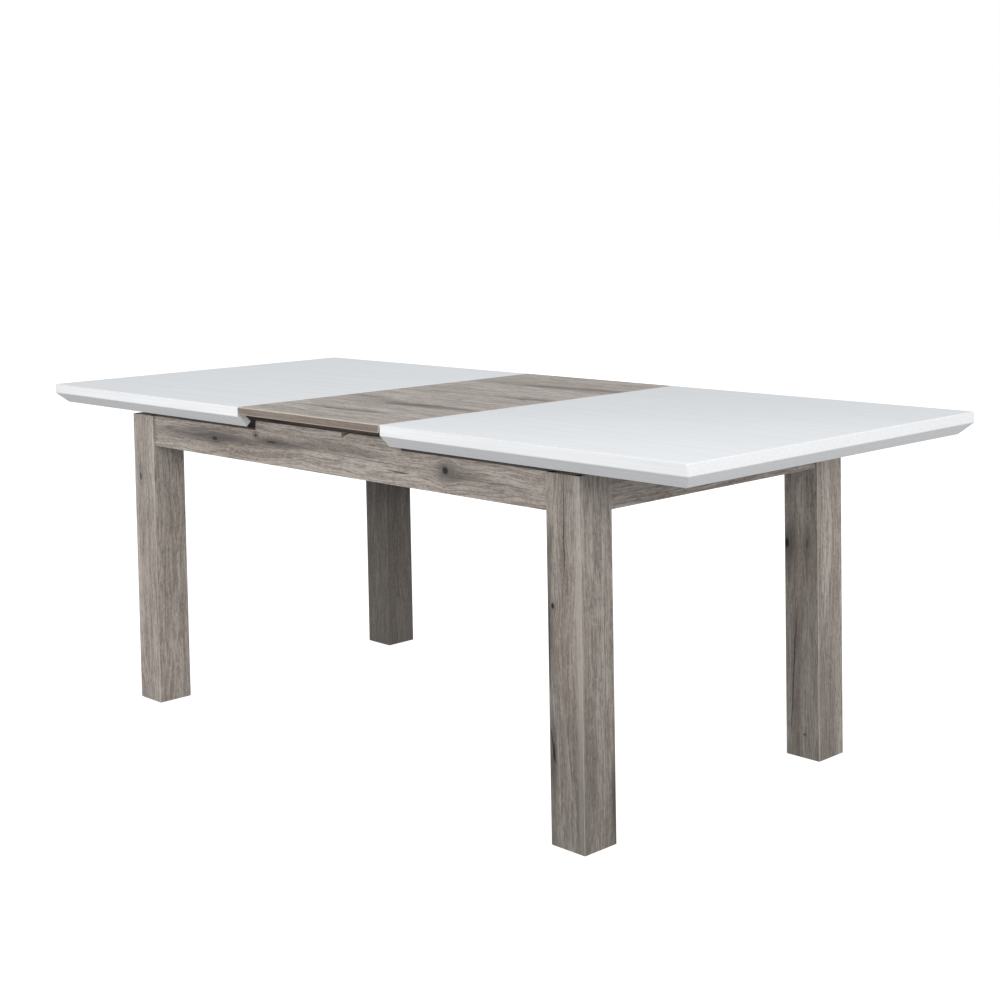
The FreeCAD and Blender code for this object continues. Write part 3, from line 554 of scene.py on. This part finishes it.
def finishNode(node, material, boxy=True):
    # a merged copy of the node's mesh with its arrises rounded
    bm = bmesh.new()
    bm.from_mesh(frame["nodes"][node].data)
    bmesh.ops.remove_doubles(bm, verts=bm.verts, dist=0.00001)
    bmesh.ops.dissolve_limit(bm, angle_limit=0.005, verts=bm.verts, edges=bm.edges)
    low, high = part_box(node)
    if node in cutFaces:
        markFaces(bm, *cutFaces[node])
    edges = [e for e in bm.edges if len(e.link_faces) == 2 and e.calc_face_angle(0) > finish["sharp"]]
    if boxy:
        edges = [e for e in edges if onOuterPlanes(e, low, high)]
    width = finish["leafArris"] if node == "leaf_board" else finish["arris"]
    roundArrises(bm, edges, width, finish["segments"])
    placePiece(node + "_finished", bm, [node], material)


leg = {"wall": 0.016, "arris": 0.0012, "segments": 3}


def makeLeg(node, material):
    # a box leg: four walls round a hollow
    bm = bmesh.new()
    bmesh.ops.create_cube(bm, size=1.0)
    low, high = (Vector(corner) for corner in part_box(node))
    bmesh.ops.scale(bm, verts=bm.verts, vec=high - low)
    bmesh.ops.translate(bm, verts=bm.verts, vec=(low + high) / 2)
    uprights = [e for e in bm.edges if abs(e.verts[0].co.z - e.verts[1].co.z) > 0.1]
    bmesh.ops.delete(bm, geom=[f for f in bm.faces if abs(f.normal.z) > 0.5], context="FACES_ONLY")
    roundArrises(bm, uprights, leg["arris"], leg["segments"])
    bmesh.ops.solidify(bm, geom=bm.faces[:], thickness=leg["wall"])
    bmesh.ops.recalc_face_normals(bm, faces=bm.faces)
    placePiece(node + "_box", bm, [node], material)


oakPieces = {  # all places and sizes in metres, in the table's own frame
    "apron_front": {
        "offset": (3.1, 0.2, 0.4), "tone": 1.06,
        "knots": [((-0.411, -0.399, 0.6705), (0.026, 0.02, 0.0105), 0.95),
                  ((-0.250, -0.399, 0.691), (0.010, 0.02, 0.008), 0.95),
                  ((-0.190, -0.399, 0.681), (0.050, 0.02, 0.0075), 0.75),
                  ((0.3827, -0.399, 0.6758), (0.021, 0.02, 0.0185), 1.0)],
        "shades": [((-0.42, -0.399, 0.677), (0.17, 0.03, 0.013), 0.95),
                   ((-0.15, -0.399, 0.680), (0.08, 0.03, 0.008), 0.7),
                   ((0.43, -0.399, 0.676), (0.055, 0.03, 0.013), 0.8),
                   ((0.49, -0.399, 0.662), (0.13, 0.03, 0.011), 0.5),
                   ((0.05, -0.399, 0.688), (0.14, 0.03, 0.009), 0.45)],
        "cracks": [("X", "Z", 0.20, 0.275, 0.6595, -0.02, 0.0024, 0.004, 0.9),
                   ("X", "Z", -0.22, 0.12, 0.6835, -0.03, 0.0013, 0.008, 0.5),
                   ("X", "Z", 0.00, 0.37, 0.6750, -0.010, 0.0014, 0.006, 0.6),
                   ("X", "Z", 0.40, 0.66, 0.6645, 0.0, 0.0013, 0.006, 0.6),
                   ("X", "Z", 0.42, 0.62, 0.6820, -0.03, 0.0012, 0.006, 0.45),
                   ("X", "Z", -0.62, -0.30, 0.6600, 0.01, 0.0013, 0.012, 0.45),
                   ("X", "Z", -0.35, -0.02, 0.6655, 0.02, 0.0013, 0.014, 0.5),
                   ("X", "Z", -0.05, 0.20, 0.6625, -0.01, 0.0012, 0.005, 0.45)]},
    "apron_rear": {
        "offset": (7.7, 0.9, 1.3),
        "knots": [((0.21, 0.399, 0.66), (0.022, 0.02, 0.012), 0.9)],
        "shades": [((-0.3, 0.399, 0.68), (0.2, 0.03, 0.012), 0.6)],
        "cracks": [("X", "Z", -0.5, 0.05, 0.665, 0.01, 0.0013, 0.010, 0.5),
                   ("X", "Z", 0.1, 0.6, 0.655, -0.01, 0.0013, 0.008, 0.5)]},
    "apron_left": {
        "grain": "Y", "offset": (1.7, 2.9, 0.3),
        "shades": [((-0.746, 0.1, 0.66), (0.03, 0.12, 0.012), 0.5)],
        "cracks": [("Y", "Z", -0.25, 0.2, 0.672, -0.02, 0.0013, 0.010, 0.5)]},
    "apron_right": {
        "grain": "Y", "offset": (5.2, 0.6, 2.3), "tone": 0.96,
        "shades": [((0.746, -0.05, 0.67), (0.03, 0.15, 0.015), 0.5)],
        "cracks": [("Y", "Z", -0.3, 0.1, 0.655, 0.01, 0.0013, 0.008, 0.6),
                   ("Y", "Z", -0.3, 0.3, 0.643, 0.0, 0.0013, 0.006, 0.5)]},
    "filler_strip_front": {
        "offset": (9.4, 0.2, 0.4), "tone": 1.05},
    "filler_strip_rear": {
        "offset": (11.8, 0.4, 0.1), "tone": 1.05},
    "leaf_board": {
        "offset": (2.3, 5.1, 0.7), "tone": 1.24, "edge": 0.75,
        "knots": [((0.06, -0.170, 0.76), (0.050, 0.009, 0.03), 0.55),
                  ((0.01, 0.256, 0.76), (0.060, 0.010, 0.03), 0.55),
                  ((0.165, 0.030, 0.76), (0.020, 0.010, 0.03), 0.5)],
        "shades": [((-0.02, -0.320, 0.76), (0.13, 0.016, 0.03), 0.8),
                   ((0.07, -0.180, 0.76), (0.18, 0.020, 0.03), 0.95),
                   ((-0.19, -0.125, 0.76), (0.07, 0.012, 0.03), 0.8),
                   ((0.05, 0.262, 0.76), (0.22, 0.018, 0.03), 0.85),
                   ((0.18, 0.045, 0.76), (0.09, 0.014, 0.03), 0.8),
                   ((-0.05, 0.045, 0.76), (0.12, 0.012, 0.03), 0.6),
                   ((0.09, -0.078, 0.76), (0.10, 0.008, 0.03), 0.6)],
        "cracks": [("X", "Y", -0.14, 0.13, -0.330, 0.06, 0.006, 0.020, 0.5),
                   ("X", "Y", -0.05, 0.14, -0.205, 0.22, 0.008, 0.02, 0.55),
                   ("X", "Y", 0.00, 0.235, 0.255, 0.10, 0.007, 0.02, 0.5),
                   ("X", "Y", -0.23, -0.10, -0.118, -0.2, 0.006, 0.02, 0.45),
                   ("X", "Y", 0.14, 0.24, 0.030, 0.25, 0.006, 0.01, 0.5)]},
}
# each leg's tone is partly set against how the lamps light it, painting light and shade
legPieces = {
    "leg_front_left": {
        "offset": (0.3, 1.1, 2.2), "tone": 1.15,
        "knots": [((-0.7247, -0.404, 0.551), (0.009, 0.01, 0.024), 0.9)],
        "shades": [((-0.7247, -0.404, 0.50), (0.014, 0.02, 0.12), 0.5)],
        "cracks": [("Z", "X", 0.05, 0.50, -0.700, 0.01, 0.0013, 0.010, 0.4),
                   ("Z", "X", 0.25, 0.69, -0.688, 0.0, 0.0013, 0.010, 0.35)]},
    "leg_front_right": {
        "offset": (4.6, 3.3, 0.2), "tone": 0.90,
        "knots": [((0.6786, -0.404, 0.4553), (0.009, 0.011, 0.014), 1.0),
                  ((0.676, -0.404, 0.180), (0.006, 0.011, 0.045), 1.0)],
        "shades": [((0.667, -0.404, 0.42), (0.012, 0.02, 0.12), 1.0),
                   ((0.667, -0.404, 0.56), (0.012, 0.02, 0.06), 0.5),
                   ((0.670, -0.404, 0.18), (0.012, 0.02, 0.07), 0.9),
                   # a painted highlight: a light line down the near corner
                   ((0.7447, -0.404, 0.40), (0.0060, 0.006, 0.60), -0.6),
                   ((0.7512, -0.322, 0.09), (0.01, 0.006, 0.06), 1.0),
                   # painted shade: darker towards the foot, where less light falls
                   ((0.708, -0.361, 0.0), (0.25, 0.25, 0.22), 0.48)],
        "cracks": [("Z", "X", 0.49, 0.715, 0.7085, 0.018, 0.0022, 0.003, 1.0),
                   ("Z", "X", 0.29, 0.465, 0.6685, 0.0, 0.0045, 0.006, 0.75),
                   ("Z", "X", 0.158, 0.228, 0.6815, -0.2, 0.0035, 0.004, 0.9),
                   ("Z", "X", 0.10, 0.44, 0.690, 0.01, 0.0012, 0.008, 0.35),
                   ("Z", "Y", 0.10, 0.60, -0.345, 0.01, 0.0013, 0.010, 0.35)]},
    "leg_rear_left": {
        # the low tone is painted shade: this leg stands in the shade under the table top
        "offset": (6.1, 0.7, 1.2), "tone": 0.46,
        # painted shade over the top of the leg, under the table top
        "shades": [((-0.70, 0.35, 0.70), (0.30, 0.30, 0.19), 3.0),
                   # painted light, lifting the foot
                   ((-0.70, 0.35, 0.10), (0.30, 0.30, 0.22), -0.24)]},
    "leg_rear_right": {
        "offset": (8.8, 2.1, 0.9), "tone": 1.04,
        "knots": [((0.671, 0.318, 0.462), (0.013, 0.012, 0.026), 1.0),
                  ((0.724, 0.318, 0.467), (0.008, 0.012, 0.026), 0.55),
                  ((0.714, 0.318, 0.054), (0.0048, 0.01, 0.0048), 1.0)],
        "shades": [((0.672, 0.318, 0.455), (0.022, 0.02, 0.05), 0.75),
                   ((0.724, 0.318, 0.45), (0.010, 0.02, 0.05), 0.35),
                   # painted shade: darker towards the foot, the first on the front face only
                   ((0.69, 0.318, 0.20), (0.25, 0.012, 0.22), 0.4),
                   ((0.708, 0.361, 0.0), (0.25, 0.25, 0.24), 0.40)],
        "cracks": [("Z", "X", 0.04, 0.335, 0.6772, 0.065, 0.0024, 0.010, 1.0)]},
}
sideShift = {"left": 0.0, "right": 11.0}  # keeps the two halves' streaks apart
whiteOffsets = {"top_board": 0.0, "edge_strip_front": 1.3, "edge_strip_rear": 2.1, "edge_strip_end": 3.7}
beech = makeTimber("planedBeech", (0.50, 0.33, 0.19), (0.40, 0.25, 0.14), (5, 90, 90), 0.55)
chipboard = makeTimber("rawParticleBoard", (0.44, 0.31, 0.19), (0.27, 0.18, 0.10), (160, 160, 160), 0.8,
                       grainDepth=0.0003)
zinc = makePlate("zincPlate", (0.62, 0.63, 0.64), (0.50, 0.51, 0.53), 1.0, 0.36)
nylon = makePlate("mouldedNylon", (0.78, 0.77, 0.72), (0.72, 0.71, 0.66), 0.0, 0.45)
blackPlastic = makePlate("glidePlastic", (0.035, 0.035, 0.036), (0.022, 0.022, 0.023), 0.0, 0.5)
# battens, packers, rails and runners darkened as painted shade: they sit in the shade under the leaf
shadeDarkBoard = makeTimber("paintedShadeBoard", (0.17, 0.132, 0.115), (0.11, 0.086, 0.074), (5, 90, 90), 0.7)
inside = {"beech": beech, "chipboard": chipboard, "zinc_steel": zinc, "nylon": nylon,
          "black_plastic": blackPlastic}
paintedShadeStarts = ("leaf_batten_front", "leaf_batten_rear", "leaf_packers", "guide_rail_front",
                 "guide_rail_rear", "runner_")
print("plain materials ready")


def finishTable():
    for node, look in oakPieces.items():
        finishNode(node, makeOak("oak_" + node, **look))
    for node, look in legPieces.items():
        makeLeg(node, makeOak("oak_" + node, grain="Z", **look))
    for side in ("left", "right"):
        for part, offset in whiteOffsets.items():
            shift = offset + sideShift[side]
            white = makeWhite("white_" + part + "_" + side, (shift, shift, shift))
            finishNode(part + "_" + side, white, boxy=part == "top_board")
    done = {n for n in frame["nodes"] if slotOf[n] not in inside}
    for node, part in frame["nodes"].items():
        if node not in done:
            part.data.materials.clear()
            # parts in the shade under the leaf take the darkened board, as painted shade
            paintedShade = node.startswith(paintedShadeStarts)
            part.data.materials.append(shadeDarkBoard if paintedShade else inside[slotOf[node]])
    print("table finished", len(done), "pieces replaced")


makeCamera()
makeStudio()
makeFloor()
finishTable()

bpy.context.view_layer.update()
